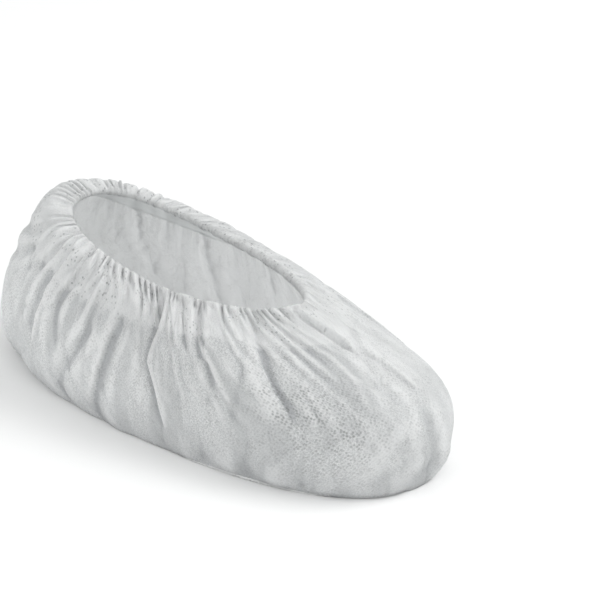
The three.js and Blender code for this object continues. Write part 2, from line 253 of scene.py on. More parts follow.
def crease_relief(crease, share, drop, girth):
    """How far one crease moves the cloth out, in two parts: its broad hollow and the sharp fold along it."""
    line = rounded(crease.line)
    turn = np.round(line[:, 0].mean() - share)
    reach = 4 * crease.width
    near = (drop > line[:, 1].min() - reach) & (drop < line[:, 1].max() + reach)
    near &= share + turn > line[:, 0].min() - reach / RIM_GIRTH
    near &= share + turn < line[:, 0].max() + reach / RIM_GIRTH
    broad, sharp = np.zeros(share.shape), np.zeros(share.shape)
    x0, y0, scale = (share + turn)[near], drop[near], girth[near]
    nearest, side, along = np.full(x0.shape, 1e9), np.zeros(x0.shape), np.zeros(x0.shape)
    steps = len(line) - 1
    for i in range(steps):
        (au, ay), (bu, by) = line[i], line[i + 1]
        ax, ay, ex, ey = (au - x0) * scale, ay - y0, (bu - au) * scale, by - ay
        t = np.clip(-(ax * ex + ay * ey) / (ex * ex + ey * ey + 1e-12), 0, 1)
        x, y = ax + t * ex, ay + t * ey
        closer = np.hypot(x, y) < nearest
        nearest[closer] = np.hypot(x, y)[closer]
        side[closer] = np.where(ex * y - ey * x < 0, -1, 1)[closer]
        along[closer] = ((i + t) / steps)[closer]
    strength = crease.depth * smooth(along / CREASE_FADE) * smooth((1 - along) / CREASE_FADE)
    x = side * nearest / crease.width
    # With a lip, one side of the line stands proud and the other dips. Without one, the line is a valley
    # between two low lips.
    if crease.lip:
        x *= crease.lip
        over = smooth((x + 0.2) / 0.4)
        form = 0.6 * over * np.exp(-np.maximum(x, 0) / 1.5) - (1 - over) * np.exp(np.minimum(x, 0) / 0.8)
        soft = 0.4 * np.exp(-((x - 1.4) ** 2)) - 0.8 * np.exp(-((x + 0.4) ** 2))
    else:
        lips = 0.18 * (np.exp(-((x - 1.5) ** 2)) + np.exp(-((x + 1.5) ** 2)))
        form = lips - 0.5 * np.exp(-np.abs(x) / 0.3) - 0.5 * np.exp(-(x**2))
        soft = lips - 0.8 * np.exp(-(x**2))
    broad[near] = strength * soft
    sharp[near] = strength * (form - soft)
    return broad, sharp


RIM_POINTS = 24000           # points at which the gathered rim is measured
GATHERS = 84                 # gathers round the elastic
GATHERED = 1.5               # length of the cloth at the rim over the length of the stretched elastic
GATHER_REACH = 7             # how far below the rim a gather of middling depth runs, mm
PLEAT = 0.75                 # half width of the valley between two gathers, mm
SEED = 4


def gathers(girth):
    """For evenly spaced threads of the gathered cloth: their share of the rim, how far each stands out there
    and how far below the rim that dies away, both in mm, and which threads are the bottoms of the valleys."""
    random = np.random.default_rng(SEED)
    width = np.exp(0.5 * random.standard_normal(GATHERS))
    width /= width.sum()
    edges = np.r_[0, np.cumsum(width)]
    depth = 0.5 + random.random(GATHERS)
    reach = GATHER_REACH * np.exp(0.6 * random.standard_normal(GATHERS)) * (0.6 + 0.6 * depth)
    share = np.arange(RIM_POINTS) / RIM_POINTS
    gather = np.searchsorted(edges[1:-1], share, side="right")
    ahead = (gather + 1) % GATHERS
    from_edge, to_edge = (share - edges[gather]) * girth, (edges[gather + 1] - share) * girth
    valley = depth[gather] * np.exp(-((from_edge / PLEAT) ** 2))
    valley = valley + depth[ahead] * np.exp(-((to_edge / PLEAT) ** 2))
    puff = 0.1 * width[gather] * girth * np.sin(np.pi * from_edge / (from_edge + to_edge)) ** 0.7
    # The valleys are deepened until the rim has the length of the gathered cloth.
    low, high = 0.1, 6.0
    for _ in range(30):
        scale = (low + high) / 2
        relief = puff - scale * valley
        step = np.hypot(girth / share.size, np.diff(relief, append=relief[0]))
        low, high = (scale, high) if step.sum() < GATHERED * girth else (low, scale)
    relief += 0.35 * scale
    nearer = np.where(from_edge < to_edge, gather, ahead)
    walked = np.r_[0, np.cumsum(step)] / step.sum()
    threads = np.arange(COLUMNS) / COLUMNS
    bottoms = np.interp(edges[:-1], np.r_[share, 1], walked) * COLUMNS
    return [np.interp(threads, walked, np.r_[values, values[0] + turn]) for values, turn in (
        (share, 1), (relief, 0), (reach[nearer], 0))] + [bottoms.round().astype(int) % COLUMNS]


SHEAR = 0.12                 # strength of the slanting threads beside the straight ones
BEND_DOWN = 0.2              # stiffness against bending down the rows
ROUNDS = 150                 # rounds of relaxing


def fitted(start, end, rest):
    edge = end - start
    return edge * (rest / np.maximum(length(edge), 1e-9))[..., None]


def relax(cloth, goal, pull, across, down, bend):
    """Lets a grid of threads, closed round its columns, take its rest lengths across and down, and bend
    softly. The pull towards the goal has one strength for each wave round the cloth and each row. The waves
    don't depend on each other, so each is solved by itself, down the rows."""
    rows = len(cloth)
    turn = 2 * np.pi * WAVES / COLUMNS
    wave = (2 - 2 * np.cos(turn))[:, None, None]
    link = np.eye(rows, k=1) + np.eye(rows, k=-1)
    second = np.diff(np.eye(rows), 2, axis=0)
    system = wave * np.eye(rows) + wave**2 * np.diag(bend)
    system += np.diag(link.sum(1)) - link + BEND_DOWN * second.T @ second
    system += SHEAR * (2 * np.diag(link.sum(1)) - 2 * np.cos(turn)[:, None, None] * link)
    system += pull[:, :, None] * np.eye(rows)
    solve = np.linalg.inv(system)
    held = np.fft.rfft(goal, axis=1).transpose(1, 0, 2) * pull[:, :, None]
    slant = np.hypot((across[1:] + across[:-1]) / 2, down)
    for _ in range(ROUNDS):
        beside = np.roll(cloth, -1, 1)
        target = np.zeros_like(cloth)
        edge = fitted(cloth, beside, across)
        target += np.roll(edge, 1, 1) - edge
        edge = fitted(cloth[:-1], cloth[1:], down)
        target[:-1] -= edge
        target[1:] += edge
        edge = SHEAR * fitted(cloth[:-1], beside[1:], slant)
        target[:-1] -= edge
        target[1:] += np.roll(edge, 1, 1)
        edge = SHEAR * fitted(beside[:-1], cloth[1:], slant)
        target[:-1] -= np.roll(edge, 1, 1)
        target[1:] += edge
        wanted = np.fft.rfft(target, axis=1).transpose(1, 0, 2) + held
        cloth = np.fft.irfft((solve @ wanted).transpose(1, 0, 2), COLUMNS, axis=1)
        cloth[..., 2] = np.maximum(cloth[..., 2], 0)
    return cloth


WALL_ROWS = 52
HELD_ROWS = 2                # rows that the elastic holds
HOLD = 1e4                   # strength of the pull on the held rows and the foot
PULL = 0.06                  # strength of the pull on the broad waves of the others
SPARE_DOWN = 1.01            # length of the threads down the wall over the form's own
FOOT_LEVEL = 3.9             # the wall's last row, a little above the edge of the sole
LEAN = 0.034                 # how far the folds of the two sides lean back below the rim, in share
form = Form()
thread = np.arange(COLUMNS) / COLUMNS
rim_share, ridge, ridge_reach, valleys = gathers(form.at(0.0, 0.0)[3])

# The gathers are fullest and longest on the right side, flatter on the left, and flattest at the heel.
ridge *= np.interp(rim_share % 1, (0, 0.06, 0.38, 0.45, 0.53, 0.6, 1), (0.7, 0.7, 0.7, 0.45, 0.45, 1, 1))
ridge_reach *= np.interp(
    rim_share % 1, (0, 0.1, 0.45, 0.56, 0.65, 0.85, 0.92, 1), (0.5, 0.6, 0.5, 0.6, 1, 1, 0.6, 0.5))

# Each point of the wall: its drop below the rim, and its share round the form.
fall = np.linspace(0, 1, WALL_ROWS)[:, None]
drop = ROLL + fall * (0.5 + 0.5 * fall) * (form.drop_at(FOOT_LEVEL) - ROLL)
to_side = np.minimum(thread, 1 - thread)
lean = np.cos(np.pi / 2 * ((to_side - 0.155) / 0.135).clip(-1, 1)) ** 2 * np.where(thread < 0.5, 1, -1)
leant = thread + LEAN * lean * np.interp(drop, (0, 15, 35, 60, 100), (0, 0.6, 1, 1, 0.4))
share = leant + (rim_share - thread) * np.exp(-((drop - ROLL) / 45) ** 1.5)
place, outward, level, girth = form.at(share, drop)

# The creases. Their sharp part is evened out down the rows, so that a slanting one has no steps.
broad, sharp = np.sum(
    [crease_relief(crease, share, drop, girth) for crease in CREASES + SEAM_LINES], axis=0)
for _ in range(3):
    sharp[1:-1] = (sharp[:-2] + 2 * sharp[1:-1] + sharp[2:]) / 4
broad *= smooth((drop - ROLL) / 9) * smooth(2 * (4 - level))
sharp *= smooth((drop - ROLL) / 5) * smooth(3 * (4 - level))
broad += crease_relief(EAR, share, drop, girth)[0] * smooth(8 * (4 - level))
creased = place + outward * broad[..., None]

# Slack is the cloth's spare length round the cover, as a share of the form's own. Loose says how much of it
# each part keeps: the cloth is drawn smooth over the toe, the left side and the heel.
slack = np.interp(drop, (0, 4, 10, 20, 40, 60, 80, 110), (0.6, 0.4, 0.22, 0.14, 0.09, 0.07, 0.05, 0.02))
sway = 1 + 0.5 * np.sin(2 * np.pi * (5 * thread + 0.35 * np.sin(6 * np.pi * thread + 1)) + 2)
slack *= 1 + (sway - 1) * smooth((drop - 10) / 25)
loose = np.interp(share % 1, (0, 0.07, 0.2, 0.42, 0.5, 0.57, 0.66, 0.85, 0.93, 1),
                  (0.15, 0.2, 0.2, 0.2, 0.2, 0.2, 0.6, 0.45, 0.15, 0.15))
slack *= 1 - (1 - loose) * smooth((drop - 6) / 12)

# Small random ripples, which the relaxing turns into folds.
random = np.random.default_rng(SEED)
ripple = np.fft.rfft(random.standard_normal(drop.shape), axis=1)
ripple *= np.exp(-((WAVES - 60) / 40) ** 2)
for _ in range(30):
    ripple[1:-1] = (ripple[:-2] + 2 * ripple[1:-1] + ripple[2:]) / 4
ripple = np.fft.irfft(ripple, COLUMNS, axis=1)
ripple *= 0.2 / ripple.std() * smooth((drop - 4) / 15) * smooth(4 - level) * np.sqrt(slack / 0.26)
relief = ridge * np.exp(-(((drop - ROLL) / ridge_reach) ** 2)) + ripple
start = creased + outward * relief[..., None]
start[..., 2] = np.maximum(start[..., 2], 0)

# The plain form gives the threads their rest lengths. Only broad waves are pulled back to the creased form.
plain = form.at(leant, drop)[0]
pull = np.tile(PULL * np.exp(-((WAVES / 45) ** 4))[:, None], (1, WALL_ROWS))
pull[:, :HELD_ROWS] = pull[:, -1:] = HOLD
goal = creased.copy()
goal[:HELD_ROWS], goal[-1:] = start[:HELD_ROWS], start[-1:]
wall = relax(
    start, goal, pull,
    across=length(np.roll(plain, -1, 1) - plain) * (1 + slack),
    down=length(np.diff(plain, axis=0)) * SPARE_DOWN,
    bend=np.interp(drop.mean(1), (0, 15, 45), (0.01, 0.03, 0.2)),
)


def streaks(waves, spread, lengths, wander, plain=False):
    """Long folds that run down the wall: noise of one width, much longer down than across, and wandering a
    little sideways. They have sharp valleys and round backs, from about -1 to 0.5. With plain, the result is
    the noise itself."""
    noise = weighted(random.standard_normal(drop.shape), np.exp(-(((WAVES - waves) / spread) ** 2)))
    apart = drop.mean(1)[:, None] - drop.mean(1)
    noise = np.exp(-((apart / lengths) ** 2)) @ noise
    noise /= noise.std()
    swing = weighted(random.standard_normal((4, COLUMNS)), np.exp(-((WAVES / 8) ** 2)))
    swing /= swing.std()
    down = (drop / 110).clip(0, 1)
    aside = sum(swing[i] * np.sin(np.pi * (i + 1) * down) / (i + 1) for i in range(4)) * wander / RIM_GIRTH
    columns = (thread + aside) % 1 * COLUMNS
    rows = np.arange(len(drop))[:, None]
    low = np.floor(columns).astype(int) % COLUMNS
    part = columns - np.floor(columns)
    noise = noise[rows, low] * (1 - part) + noise[rows, (low + 1) % COLUMNS] * part
    return noise if plain else 0.5 - 1.5 * np.exp(-np.abs(noise) / 0.35)


# Long folds, most of them on the two sides, with patches of fine ones below the rim. The heel is crumpled,
# and short pleats run down from the valleys between the gathers.
side = 0.5 - 0.5 * np.cos(4 * np.pi * (share - 0.02))
running = smooth((drop - 6) / 22) * smooth(3 * (4 - level)) * (0.3 + 0.7 * side)
running *= loose
patches = smooth(0.5 + 0.9 * streaks(9, 5, 30, 8, plain=True))
folds = 1.1 * streaks(11, 6, 40, 6) + 0.6 * streaks(24, 10, 24, 5)
fine = 0.3 * streaks(52, 20, 15, 2) + 0.1 * streaks(105, 40, 9, 1)
folds += patches * (1 - smooth((drop - 25) / 35)) * fine
crumpled = np.interp(
    share % 1, (0.07, 0.2, 0.4, 0.5, 0.57, 0.66, 0.85, 0.93), (0.2, 0.3, 1, 0.8, 0.6, 0.35, 0.25, 0.35))
crumpled *= smooth((drop - 6) / 10) * smooth(2 * (4 - level))
crumple = 0.7 * streaks(9, 6, 11, 3) + 0.5 * streaks(24, 14, 5, 2) + 0.16 * streaks(60, 30, 2.5, 0)
pleats = np.zeros(drop.shape)
for valley, depth, reach in zip(
        valleys, 0.7 + 1.2 * random.random(GATHERS), 15 * np.exp(0.6 * random.standard_normal(GATHERS))):
    apart = ((share - share[:, valley:valley + 1] + 0.5) % 1 - 0.5) * girth
    reach *= 0.4 + 0.6 * smooth((to_side[valley] - 0.05) / 0.12)
    pleats -= depth * np.exp(-np.abs(apart) / 0.8) * smooth((drop - 2) / 5) * np.exp(-((drop / reach) ** 2))
wall += outward * (sharp + 0.3 * broad + running * folds + crumpled * crumple + pleats)[..., None]

# The foot of the wall wanders in and out a little where the folds reach the floor.
FOOT_WANDER = 0.9            # how far it wanders, mm
LIES = 0.33                  # height of the sheet above the floor where it lies on it, mm
wander = weighted(random.standard_normal(COLUMNS), np.exp(-(((WAVES - 16) / 12) ** 2)), axis=0)
aside = outward * (1, 1, 0)
wall += aside * (FOOT_WANDER * wander / wander.std() * smooth((level - 2.4) / 1.2))[..., None]
wall[..., 2] = np.maximum(wall[..., 2], LIES)

# How far each point stands proud of the cloth within a few millimetres of it, from -1 to 1.
proud = wall - weighted(wall, np.exp(-((WAVES / 30) ** 2))[:, None])
fold = np.tanh((proud * outward).sum(-1) / 0.8)

# The roll over the elastic, from its inner side to the wall: the gathers are flatter on the inner side.
ROLL_INSIDE = 1.9            # the roll's smaller radius on the inner side, mm
rim_place, rim_out, _, _ = form.at(rim_share, np.full(COLUMNS, ROLL))
rim_down = form.at(rim_share, np.full(COLUMNS, ROLL + 1))[0]
rim_down = rim_down - form.at(rim_share, np.full(COLUMNS, ROLL - 1))[0]
rim_down /= length(rim_down)[:, None]
elastic_line = rim_place - ROLL * rim_out
turns = np.radians((215, 180, 145, 110, 80, 52, 25))
roll = []
for angle in turns:
    facing_out = 0.5 + 0.5 * math.cos(angle)
    radius = ROLL_INSIDE + (ROLL - ROLL_INSIDE) * facing_out
    roll.append(
        elastic_line
        + rim_out * (radius * math.cos(angle) + ridge * (0.3 + 0.7 * facing_out**1.3))[:, None]
        - rim_down * radius * math.sin(angle)
    )
roll = np.stack(roll)

# The sole, from the wall's last row to the centre line, where the flat bag was folded. It lies on the floor
# in low wrinkles, along the lines where a swell of many waves crosses zero.
SOLE_WRINKLE = 1.8           # height of the wrinkles, mm
SWELLS = 24                  # waves that make them
sole_levels = np.array((3.98, 4.1, 4.25, 4.4, 4.55, 4.7, 4.85, 5.0))
sole_drops = np.stack([form.drop_at(level) for level in sole_levels])
sole = form.at(np.broadcast_to(thread, sole_drops.shape), sole_drops)[0]
inset = ((sole_levels - FOOT_LEVEL) / 0.7)[:, None]
sole[..., :2] += (wall[-1] - plain[-1])[None, :, :2] * (1 - smooth(inset))[..., None]
waves, phase = random.uniform(0.09, 0.34, SWELLS), random.uniform(0, 2 * np.pi, SWELLS)
heading = np.pi / 2 * random.standard_normal(SWELLS) * 0.6
swell = sum(np.cos(wave * (math.cos(turn) * sole[..., 0] + math.sin(turn) * sole[..., 1]) + start_at)
            for wave, turn, start_at in zip(waves, heading, phase)) / SWELLS**0.5
sole[..., 2] = SOLE_WRINKLE * np.exp(-np.abs(swell) / 0.3) * smooth(inset)
sole[..., 2] *= smooth((5 - sole_levels)[:, None] / 0.3)
sole[..., 2] += LIES
sole[-1, :, 1:] = 0, LIES    # the two halves touch along the centre line, and aren't joined

sheet = np.concatenate([roll, wall, sole])
sheet_drop = np.concatenate([
    np.broadcast_to((ROLL - ROLL * turns)[:, None], (len(roll), COLUMNS)), drop, sole_drops])

# The form's own zero is not quite the frame's: the elastic shows by how much.
low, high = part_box("elastic")
middle = (elastic_line.min(0) + elastic_line.max(0)) / 2
to_frame = np.array([(low.x + high.x) / 2 / MM - middle[0], (low.y + high.y) / 2 / MM - middle[1], 0])
CLOTH = 0.4                  # thickness of the cloth, mm
FLAT = 738                   # length of the flat cloth round the bag, mm


def grid_mesh(name, rows, drops, fold, flip=False):
    """A sheet closed round its columns. Its UV map is in metres of flat cloth: round the bag, and below the
    rim. Its attribute "fold" says how proud of the cloth round it each point stands, from -1 to 1."""
    count = len(rows)
    index = np.arange(count * COLUMNS).reshape(count, COLUMNS)
    here, below = index[:-1], index[1:]
    quads = np.stack([here, below, np.roll(below, -1, 1), np.roll(here, -1, 1)], -1)
    if flip:
        quads = quads[..., ::-1]
    mesh = bpy.data.meshes.new(name)
    mesh.from_pydata(((rows + to_frame) * MM).reshape(-1, 3), [], quads.reshape(-1, 4))
    u = np.broadcast_to(np.arange(COLUMNS + 1) * FLAT / COLUMNS, (count, COLUMNS + 1))
    v = np.concatenate([drops, drops[:, :1]], 1)
    flat = np.stack([u, v], -1) * MM
    corners = [flat[:-1, :-1], flat[1:, :-1], flat[1:, 1:], flat[:-1, 1:]]
    if flip:
        corners.reverse()
    mesh.uv_layers.new(name="cloth").data.foreach_set("uv", np.stack(corners, 2).astype(np.float32).ravel())
    mesh.attributes.new("fold", "FLOAT", "POINT").data.foreach_set("value", fold.astype(np.float32).ravel())
    mesh.shade_smooth()
    piece = bpy.data.objects.new(name, mesh)
    bpy.context.collection.objects.link(piece)
    return piece


def thicken(piece):
    """Gives the sheet the cloth's thickness, inwards."""
    solidify = piece.modifiers.new("thickness", "SOLIDIFY")
    solidify.thickness = CLOTH * MM
    solidify.offset = -1
    solidify.use_even_offset = False


class Wire:
    """A shader socket that takes part in plain arithmetic."""

    def __init__(self, finish, socket):
        self.finish, self.socket = finish, socket

    def math(self, operation, *values):
        return self.finish.node("Math", {"operation": operation}, dict(enumerate(values)))

    def __add__(self, other):
        return self.math("ADD", self, other)

    def __sub__(self, other):
        return self.math("SUBTRACT", self, other)

    def __rsub__(self, other):
        return self.math("SUBTRACT", other, self)

    def __mul__(self, other):
        return self.math("MULTIPLY", self, other)

    __radd__ = __add__
    __rmul__ = __mul__


class Finish:
    """A material and its nodes."""

    def __init__(self, name):
        self.material = bpy.data.materials.new(name)
        self.material.use_nodes = True
        self.tree = self.material.node_tree
        self.tree.nodes.clear()

    def node(self, kind, settings=None, inputs=None, output=0):
        made = self.tree.nodes.new("ShaderNode" + kind)
        for name, value in (settings or {}).items():
            setattr(made, name, value)
        for name, value in (inputs or {}).items():
            socket = made.inputs[name] if isinstance(name, int) else next(
                s for s in made.inputs if name in (s.identifier, s.name))
            if isinstance(value, Wire):
                self.tree.links.new(value.socket, socket)
            else:
                socket.default_value = value
        return Wire(self, made.outputs[output]) if made.outputs else made

    def step(self, value, low, high):
        """0 below low, 1 above high, and smooth between."""
        return self.node("MapRange", {"interpolation_type": "SMOOTHSTEP"}, {
            "Value": value, "From Min": low, "From Max": high})

    def blend(self, factor, a, b):
        return self.node("Mix", {"data_type": "RGBA"}, {
            "Factor_Float": factor, "A_Color": a, "B_Color": b}, 2)

    def surface(self, shader):
        self.node("OutputMaterial", {}, {"Surface": shader})
        return self.material


BOND_PITCH = 1.9             # mm between bond points
SPECK_PITCH = 4.2            # mm between the few open bond points in the hem
HEM_DEPTH = 34               # depth of the turned-in hem, mm
THIN_SPOT = (680, 84, 0)     # middle of the toe's side, round the bag and below the rim, mm
THIN_REACH = 46              # how far the single layer lies clear of other cloth there, mm
FIBRE = (0.98, 0.985, 0.985, 1)
# whiter cloth: the hem band's real double layer, and the painted highlight on the backs of folds and on the
# crown
DOUBLED_AND_HIGHLIGHT = (0.99, 0.99, 0.99, 1)
# painted shade for the valleys of folds and the streaks of gathered cloth
PAINTED_FOLD_SHADE = (0.42, 0.43, 0.445, 1)
# painted shade in pinch lines
PAINTED_PINCH_SHADE = (0.47, 0.48, 0.50, 1)
# painted shade low down by the floor
PAINTED_FLOOR_SHADE = (0.38, 0.39, 0.405, 1)
OPEN_BOND = (0.24, 0.245, 0.25, 1)
OPEN_SPECK = (0.22, 0.225, 0.23, 1)


def nonwoven(name, shade, glow, grain=1.0, outside=False, lying=0.0, pleat_shade=0.0):
    """Spunbond cloth: cloudy fibres pressed together at a lattice of bond points. They show most where one
    layer hangs free, and least on the hem's band of two layers, which is whiter. Folds get a painted
    highlight on their backs and painted shade in their valleys. Shade is its colour where it is thin, glow
    how much light comes through, and grain how much its fibres and points show. The outside has the hem's
    band, a painted highlight on the crown over the toe, painted shade on its foot by the floor, and painted
    shade in pinch lines below the rim. Lying is how much less light comes through by the floor, and the pleat
    argument how dark the painted shade in the streaks of gathered cloth is."""
    f = Finish(name)
    flat = f.node("UVMap", {"uv_map": "cloth"})
    mm = f.node("VectorMath", {"operation": "SCALE"}, {"Vector": flat, "Scale": 1000.0})

    def part(vector, axis):
        return f.node("SeparateXYZ", {}, {0: vector}, axis)

    def noise(scale, detail, distortion=0.0, turn=0.0, stretch=1.0, colour=False):
        place = f.node("Mapping", {}, {"Vector": mm, "Rotation": (0, 0, turn), "Scale": (1, stretch, 1)})
        return f.node("TexNoise", {"noise_dimensions": "2D"}, {
            "Vector": place, "Scale": scale, "Detail": detail, "Roughness": 0.62, "Distortion": distortion,
        }, int(colour))

    def by_floor(low, high):
        """1 up to one height above the floor, mm, and 0 from the other."""
        height = part(f.node("TexCoord", {}, {}, "Object"), 2)
        return 1 - f.step(height, low * MM, high * MM)

    # fibres, clouds and bond points
    turned = f.node("Mapping", {}, {"Vector": mm, "Rotation": (0, 0, math.pi / 4)})
    lattice = f.node("TexVoronoi", {"voronoi_dimensions": "2D"}, {
        "Vector": turned, "Scale": 1 / BOND_PITCH, "Randomness": 0.55})
    dots = 1 - f.step(lattice, 0.16, 0.5)
    clouds = noise(0.09, 3.0)
    fibres = noise(1.25, 2.5, distortion=0.6)
    threads = 0.5 * noise(0.5, 3.0, turn=0.5, stretch=4.0) + 0.5 * noise(0.5, 3.0, turn=-0.7, stretch=4.0)
    density = f.step(0.65 * fibres + 0.35 * threads, 0.4, 0.6)
    colour = f.blend(density, shade, FIBRE)
    bands = noise(1 / 24, 2.0, distortion=0.6, stretch=0.3)
    colour = f.blend(0.75 * (1 - f.step(bands, 0.38, 0.62)), colour, shade)
    from_spot = f.node("VectorMath", {"operation": "DISTANCE"}, {0: mm, 1: THIN_SPOT}, "Value")
    clear = 1 - f.step(from_spot, THIN_REACH * 0.3, THIN_REACH)
    patchy = 0.4 + 0.6 * f.step(noise(0.22, 2.0), 0.38, 0.6)
    show = (0.28 + 0.3 * f.step(clouds, 0.45, 0.62) + 0.5 * clear) * patchy

    # folds: a painted highlight on their backs and painted shade in their valleys, by how proud each point
    # stands
    below = part(mm, 1)
    fold = f.node("Attribute", {"attribute_name": "fold"}, {}, "Fac")
    # the valleys of folds, which get painted shade and let less light through
    valley = grain * (1 - f.step(fold, -0.95, -0.15))
    if outside:
        around = part(mm, 0)
        # painted highlight on the crown over the toe, which also takes away most of the painted shade in its
        # valleys
        crown_highlight = (1 - f.step(around, 50, 100) + f.step(around, 716, 736)) * (1 - f.step(below, 60, 110))
        valley = valley * (1 - 0.7 * crown_highlight)
    # painted highlight on the backs of folds
    colour = f.blend(0.8 * grain * f.step(fold, 0.05, 0.8), colour, DOUBLED_AND_HIGHLIGHT)
    # painted shade in the valleys of folds
    colour = f.blend(0.85 * valley, colour, PAINTED_FOLD_SHADE)

    # the outside's painted highlight on the crown, painted shade on the foot and in pinches below the rim,
    # hem band and open specks
    if outside:
        colour = f.blend(0.5 * crown_highlight, colour, DOUBLED_AND_HIGHLIGHT)
        # painted shade on the foot, darker towards the floor
        colour = f.blend(0.42 * by_floor(3, 28), colour, PAINTED_FLOOR_SHADE)
        # pinch lines below the rim: real relief in the bump, and painted shade in the colour
        pinch_relief_and_shade = 1 - f.step(noise(0.42, 1.5, stretch=0.07), 0.38, 0.62)
        pinch_relief_and_shade = pinch_relief_and_shade * (1 - f.step(below + 30 * clouds, 26, 66))
        colour = f.blend(0.45 * pinch_relief_and_shade, colour, PAINTED_PINCH_SHADE)
        band = 1 - f.step(below + 10 * clouds, HEM_DEPTH + 2.5, HEM_DEPTH + 6.5)
        colour = f.blend(0.58 * band, colour, DOUBLED_AND_HIGHLIGHT)
        show = show * (1 - 0.6 * band)
        speck = f.node("TexVoronoi", {"voronoi_dimensions": "2D"}, {
            "Vector": mm, "Scale": 1 / SPECK_PITCH, "Randomness": 0.9})
        speck = (1 - f.step(speck, 0.1, 0.2)) * band * f.step(noise(0.05, 1.0), 0.5, 0.6)
        colour = f.blend(0.8 * speck, colour, OPEN_SPECK)
    if pleat_shade:
        # painted shade in streaks of gathered cloth below the rim, with less light through them
        gathered = 1 - f.step(noise(0.17, 2.5, stretch=0.1), 0.4, 0.56)
        gathered = gathered * (1 - f.step(below + 30 * clouds, 40, 84))
        colour = f.blend(pleat_shade * gathered, colour, PAINTED_FOLD_SHADE)
    colour = f.blend(grain * show * dots, colour, OPEN_BOND)

    # a papery crinkle, with the fibres and the bond points in it
    warp = f.node("VectorMath", {"operation": "MULTIPLY_ADD"}, {
        0: noise(0.06, 2.0, colour=True), 1: (14, 10, 0), 2: mm})
    paper = f.node("Mapping", {}, {"Vector": warp, "Scale": (1 / 11, 1 / 26, 1)})
    crinkle = f.node("TexVoronoi", {"voronoi_dimensions": "2D", "feature": "DISTANCE_TO_EDGE"}, {
        "Vector": paper, "Scale": 1.0, "Randomness": 1.0})
    relief = 0.6 * fibres + 0.6 * threads - 1.2 * show * dots + 1.6 * f.step(crinkle, 0.0, 0.25)
    if outside:
        relief -= 1.6 * pinch_relief_and_shade
    bump = f.node("Bump", {}, {"Height": relief, "Strength": 0.9, "Distance": 0.35 * MM})
    cloth = f.node("BsdfPrincipled", {}, {
        "Base Color": colour, "Roughness": 0.85 - 0.25 * dots, "Normal": bump})

    # the light that comes through
    through_it = f.node("BsdfTranslucent", {}, {"Color": FIBRE})
    # less light comes through in fold valleys and gathered streaks, with their painted shade
    through = glow - 0.3 * valley - 0.12 * grain * (1 - density)
    if pleat_shade:
        through -= pleat_shade * gathered
    if lying:
        through -= lying * by_floor(2, 22)
        through -= 0.13 * f.step(noise(1 / 20, 2.0, distortion=0.4, stretch=0.25), 0.35, 0.65)
    return f.surface(f.node("MixShader", {}, {0: through, 1: cloth, 2: through_it}))


cover_cloth = grid_mesh("cover_cloth", sheet, sheet_drop, np.concatenate([
    np.broadcast_to(fold[:1], (len(roll), COLUMNS)), fold, np.zeros(sole_drops.shape)]))
thicken(cover_cloth)
cover_cloth.modifiers["thickness"].material_offset = 1
cover_cloth.data.materials.append(nonwoven(
    "nonwoven_cloth", shade=(0.475, 0.485, 0.492, 1), glow=0.56, outside=True))
# The inside face is a much paler copy of the same cloth: painted light that brightens the interior. Its grain
# shows little.
cover_cloth.data.materials.append(nonwoven(
    "nonwoven_inside_painted_light", shade=(0.90, 0.905, 0.905, 1), glow=0.6, grain=0.15, lying=0.5, pleat_shade=0.2))
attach(cover_cloth, "root")
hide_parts("cover_body")

# ---- Turned-in hem ----
# The bag's edge is turned in over the elastic and lies against the inside of the wall, with a plain cut edge.
# It is the same cloth, gathered with the wall, so it follows the wall's softer folds just inside it.
HEM_ROWS = 16
HEM_GAP = 1.0                # gap between the hem and the wall's deepest valleys beside it, mm
soft = weighted(wall, np.exp(-((WAVES / 22) ** 4))[:, None])
inward = ((soft - wall) * outward).sum(-1)
clear = np.max([np.roll(inward, shift, 1) for shift in range(-18, 19, 3)], axis=0)
clear = np.maximum(weighted(clear, np.exp(-((WAVES / 16) ** 2))), 0) + HEM_GAP
hem_drop = np.linspace(ROLL, HEM_DEPTH, HEM_ROWS)
gathered = 0.8 * ridge * np.exp(-(((drop - ROLL) / 16) ** 2)) * smooth((drop - ROLL) / 4)
lining = soft + outward * (gathered - clear)[..., None]
facing = np.stack([
    np.stack([np.interp(hem_drop, drop[:, k], lining[:, k, i]) for i in range(3)], -1)
    for k in range(COLUMNS)], 1)
# Near the rim it hangs straight down from within the roll.
near_rim = 1 - smooth((hem_drop - ROLL) / 16)[:, None, None]
steep = rim_down[None] * (hem_drop - ROLL)[:, None, None]
pinched = 0.6 * ridge[:, None] * smooth((hem_drop - ROLL - 1.5) / 3)[:, None, None]
facing = facing * (1 - near_rim) + (elastic_line - 1.3 * rim_out + steep + pinched * rim_out) * near_rim
hem_band = grid_mesh(
    "hem_band", facing, np.broadcast_to(hem_drop[:, None], (HEM_ROWS, COLUMNS)),
    np.zeros((HEM_ROWS, COLUMNS)), flip=True)
thicken(hem_band)
# The hem is a much paler copy of the same cloth that lets more light through: painted light against the shade
# of its double layer.
hem_band.data.materials.append(nonwoven(
    "hem_cloth", shade=(0.93, 0.935, 0.935, 1), glow=0.95, grain=0.3, pleat_shade=0.1))
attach(hem_band, "root")
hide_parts("hem_facing")

# ---- Elastic ----
# A round rubber thread, joined into a ring, lies loose in the roll of the hem. It was sewn in stretched, and
# pulls the opening together.
ELASTIC = 1.6                # thickness of the thread, mm
ELASTIC_SIDES = 10


